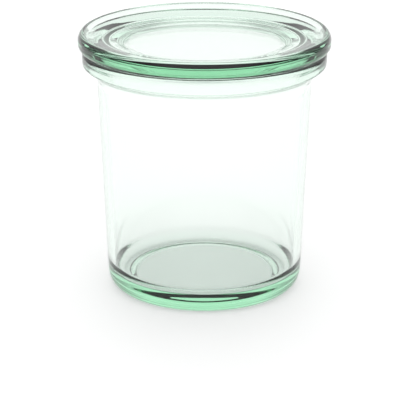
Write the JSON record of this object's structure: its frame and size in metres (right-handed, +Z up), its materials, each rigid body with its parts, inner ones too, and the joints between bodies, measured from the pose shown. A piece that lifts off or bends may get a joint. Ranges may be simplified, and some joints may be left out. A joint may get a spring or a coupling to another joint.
{
  "type": "glass preserving jar",
  "caption": "Straight-sided glass preserving jar with a thick rounded rim and a loose dished glass lid resting on it",
  "frame": {"origin": "centre of the base, on the plane the jar stands on", "axes": "+Z up along the jar's axis; the shape is the same from every side, +Y is the side away from the camera in the picture"},
  "size_m": [0.089, 0.089, 0.0932],
  "materials": {
    "jar_glass": "clear, faintly green",
    "lid_glass": "clear, faintly green"
  },
  "bodies": {
    "root": {"jar": "jar_glass", "lid": "lid_glass"}
  },
  "joints": []
}
